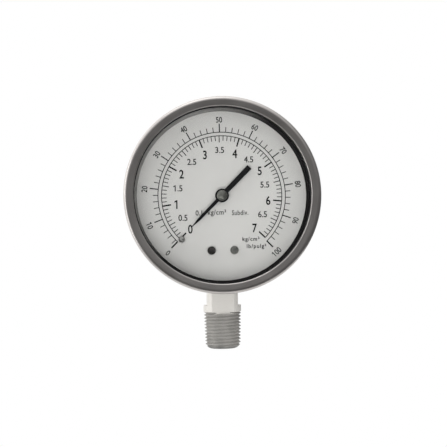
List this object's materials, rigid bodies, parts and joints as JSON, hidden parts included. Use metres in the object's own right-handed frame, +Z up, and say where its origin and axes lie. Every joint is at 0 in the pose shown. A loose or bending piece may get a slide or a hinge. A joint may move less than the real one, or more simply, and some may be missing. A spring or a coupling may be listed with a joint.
{
  "type": "pressure gauge",
  "caption": "Dial pressure gauge with a crimped steel case, bottom threaded stem with wrench flats, two-scale dial, and a working pointer movement behind it.",
  "frame": {"origin": "centre of the pressure passage at the end face of the stem, on the stem axis", "axes": "+Z up the stem towards the dial, -Y the way the dial faces, +X to the viewer's right"},
  "size_m": [0.108, 0.048, 0.1395],
  "materials": {
    "case_steel": "satin drawn stainless steel",
    "ring_steel": "circular brushed stainless steel",
    "stem_steel": "turned and milled stainless steel",
    "window_glass": "clear flat instrument glass",
    "black_rubber": "matt black rubber",
    "inner_ring_metal": "satin inner ring",
    "dial_white": "matt white paint on aluminium",
    "dial_print": "matt black print",
    "pointer_black": "satin black paint on aluminium",
    "pointer_cap": "turned metal cap",
    "small_screw_steel": "plain turned steel",
    "brass": "stamped and turned brass",
    "tube_bronze": "drawn phosphor bronze"
  },
  "bodies": {
    "root": {"case": "case_steel", "bezel_ring": "ring_steel", "window": "window_glass", "window_gasket": "black_rubber", "spacer_ring": "inner_ring_metal", "dial": "dial_white", "inner_scale": "dial_print", "outer_scale": "dial_print", "dial_screws": "small_screw_steel", "dial_posts": "brass", "stop_pin": "small_screw_steel", "socket": "stem_steel", "stem_seal": "black_rubber", "bourdon_tube": "tube_bronze", "back_plate": "brass", "front_plate": "brass", "pillars": "brass", "pillar_screws": "small_screw_steel", "movement_screws": "small_screw_steel", "hairspring": "tube_bronze", "hairspring_stud": "brass", "blowout_plug": "black_rubber"},
    "sector": {"sector_gear": "brass", "sector_arbor": "small_screw_steel"},
    "pointer": {"pointer": "pointer_black", "pointer_hub": "pointer_cap", "pinion_arbor": "small_screw_steel", "hairspring_collet": "brass"},
    "tube_end": {"tube_tip": "brass", "tip_pin": "small_screw_steel"},
    "link": {"link": "brass", "link_screw": "small_screw_steel"}
  },
  "joints": [
    {"name": "sector_swing", "type": "hinge", "parent": "root", "child": "sector", "pos_m": [0.00804, 0, 0.0661], "axis": [0, 1, 0], "range_deg": [-29.9, 0], "stiffness_Nm_per_rad": 0.0005},
    {"name": "pointer_turn", "type": "hinge", "parent": "root", "child": "pointer", "pos_m": [0, 0, 0.0855], "axis": [0, 1, 0], "range_deg": [0, 270], "deforming": ["hairspring"]},
    {"name": "tube_end_swing", "type": "hinge", "parent": "root", "child": "tube_end", "pos_m": [-0.00349, 0, 0.09437], "axis": [0, 1, 0], "range_deg": [-7.2, 0], "deforming": ["bourdon_tube"]},
    {"name": "link_swing", "type": "hinge", "parent": "tube_end", "child": "link", "pos_m": [0.026, 0, 0.06862], "axis": [0, 1, 0], "range_deg": [0, 5.2]}
  ],
  "couplings": [
    {"joint": "pointer_turn", "follows": "sector_swing", "ratio": -9},
    {"joint": "tube_end_swing", "follows": "sector_swing", "ratio": 0.2337},
    {"joint": "link_swing", "follows": "sector_swing", "ratio": -0.1598}
  ]
}
